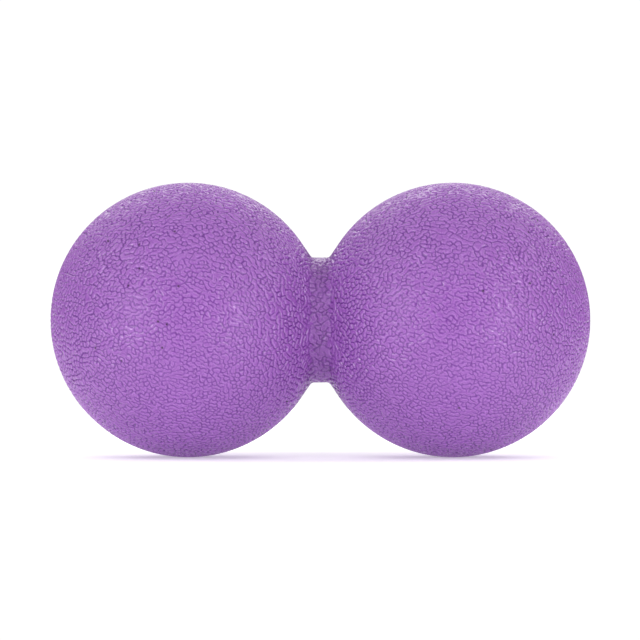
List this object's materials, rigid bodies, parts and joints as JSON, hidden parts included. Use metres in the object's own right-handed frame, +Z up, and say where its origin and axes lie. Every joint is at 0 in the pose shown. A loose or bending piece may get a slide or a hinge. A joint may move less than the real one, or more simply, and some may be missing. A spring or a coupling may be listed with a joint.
{
  "type": "massage ball",
  "caption": "Peanut-shaped massage ball: equal spheres joined end to end by a short narrow neck, in soft foamed TPE with a leather-grained skin, for rolling along the spine.",
  "frame": {"origin": "the middle of the neck, on the axis through both balls", "axes": "+X along the axis through both balls, towards the ball with the gate; +Z up; -Y to the front, square to the mould's parting plane"},
  "size_m": [0.1254, 0.064, 0.064],
  "materials": {
    "grained_skin": "semi-matt purple TPE with a moulded leather grain",
    "foam": "closed-cell foamed TPE, matt",
    "trimmed_gate": "smooth knife-cut TPE"
  },
  "bodies": {
    "root": {"front_skin": "grained_skin", "rear_skin": "grained_skin", "foam_core": "foam", "gate_slug": "trimmed_gate"}
  },
  "joints": []
}
